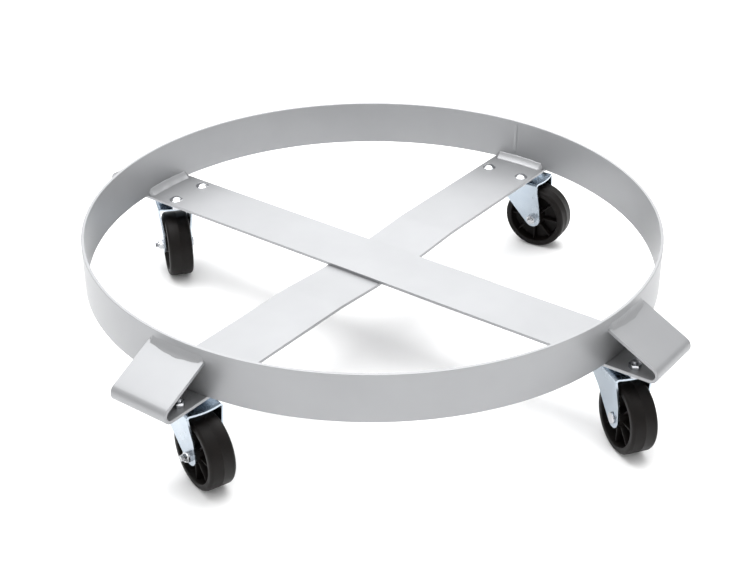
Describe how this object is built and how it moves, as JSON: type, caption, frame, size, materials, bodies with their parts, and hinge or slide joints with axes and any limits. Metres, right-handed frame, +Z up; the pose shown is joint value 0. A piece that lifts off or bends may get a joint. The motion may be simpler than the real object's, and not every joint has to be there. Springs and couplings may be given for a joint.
{
  "type": "drum dolly",
  "caption": "Low round dolly: a steel ring on crossed flat bars with folded ends, carried by swivel casters, for rolling a drum.",
  "frame": {"origin": "centre of the drum's seat, on the top faces of the two crossed bars, which is the ring's foot", "axes": "+Z up, +X along the upper bar, +Y along the lower bar"},
  "size_m": [0.7128, 0.71, 0.1477],
  "materials": {
    "painted_frame": "silver-grey powder coat, satin",
    "zinc_pressings": "bright zinc plate on pressed steel, slightly blue",
    "zinc_fasteners": "bright zinc plate",
    "bearing_steel": "polished steel balls",
    "moulded_wheel": "moulded dark brown-black"
  },
  "bodies": {
    "frame": {"hoop_ring": "painted_frame", "upper_cross_bar": "painted_frame", "lower_cross_bar": "painted_frame", "east_bar_fold": "painted_frame", "north_bar_fold": "painted_frame", "west_bar_fold": "painted_frame", "south_bar_fold": "painted_frame", "ring_seam_weld": "painted_frame", "foot_welds": "painted_frame", "fold_welds": "painted_frame", "crossing_welds": "painted_frame", "inner_carriage_bolts": "zinc_fasteners", "inner_nuts": "zinc_fasteners", "outer_hex_bolts": "zinc_fasteners", "outer_nuts": "zinc_fasteners", "east_top_plate": "zinc_pressings", "east_kingpin": "zinc_pressings", "east_race_washer": "zinc_pressings", "north_top_plate": "zinc_pressings", "north_kingpin": "zinc_pressings", "north_race_washer": "zinc_pressings", "west_top_plate": "zinc_pressings", "west_kingpin": "zinc_pressings", "west_race_washer": "zinc_pressings", "south_top_plate": "zinc_pressings", "south_kingpin": "zinc_pressings", "south_race_washer": "zinc_pressings"},
    "east_fork_body": {"east_fork": "zinc_pressings", "east_upper_balls": "bearing_steel", "east_lower_balls": "bearing_steel", "east_axle_bolt": "zinc_fasteners", "east_axle_nut": "zinc_fasteners", "east_axle_sleeve": "zinc_fasteners"},
    "east_wheel_body": {"east_wheel": "moulded_wheel"},
    "north_fork_body": {"north_fork": "zinc_pressings", "north_upper_balls": "bearing_steel", "north_lower_balls": "bearing_steel", "north_axle_bolt": "zinc_fasteners", "north_axle_nut": "zinc_fasteners", "north_axle_sleeve": "zinc_fasteners"},
    "north_wheel_body": {"north_wheel": "moulded_wheel"},
    "west_fork_body": {"west_fork": "zinc_pressings", "west_upper_balls": "bearing_steel", "west_lower_balls": "bearing_steel", "west_axle_bolt": "zinc_fasteners", "west_axle_nut": "zinc_fasteners", "west_axle_sleeve": "zinc_fasteners"},
    "west_wheel_body": {"west_wheel": "moulded_wheel"},
    "south_fork_body": {"south_fork": "zinc_pressings", "south_upper_balls": "bearing_steel", "south_lower_balls": "bearing_steel", "south_axle_bolt": "zinc_fasteners", "south_axle_nut": "zinc_fasteners", "south_axle_sleeve": "zinc_fasteners"},
    "south_wheel_body": {"south_wheel": "moulded_wheel"}
  },
  "joints": [
    {"name": "east_swivel", "type": "hinge", "parent": "frame", "child": "east_fork_body", "pos_m": [0.2946, 0, -0.013], "axis": [0, 0, 1], "continuous": true},
    {"name": "north_swivel", "type": "hinge", "parent": "frame", "child": "north_fork_body", "pos_m": [0, 0.2946, -0.013], "axis": [0, 0, 1], "continuous": true},
    {"name": "west_swivel", "type": "hinge", "parent": "frame", "child": "west_fork_body", "pos_m": [-0.2946, 0, -0.013], "axis": [0, 0, 1], "continuous": true},
    {"name": "south_swivel", "type": "hinge", "parent": "frame", "child": "south_fork_body", "pos_m": [0, -0.2946, -0.013], "axis": [0, 0, 1], "continuous": true},
    {"name": "east_wheel_roll", "type": "hinge", "parent": "east_fork_body", "child": "east_wheel_body", "pos_m": [0.32018, -0.01661, -0.0594], "axis": [0.5446, 0.8387, 0], "continuous": true},
    {"name": "north_wheel_roll", "type": "hinge", "parent": "north_fork_body", "child": "north_wheel_body", "pos_m": [0.03046, 0.2962, -0.0594], "axis": [-0.0523, 0.9986, 0], "continuous": true},
    {"name": "west_wheel_roll", "type": "hinge", "parent": "west_fork_body", "child": "west_wheel_body", "pos_m": [-0.27057, -0.01878, -0.0594], "axis": [0.6157, 0.788, 0], "continuous": true},
    {"name": "south_wheel_roll", "type": "hinge", "parent": "south_fork_body", "child": "south_wheel_body", "pos_m": [0.02939, -0.30275, -0.0594], "axis": [0.2672, 0.9636, 0], "continuous": true}
  ]
}
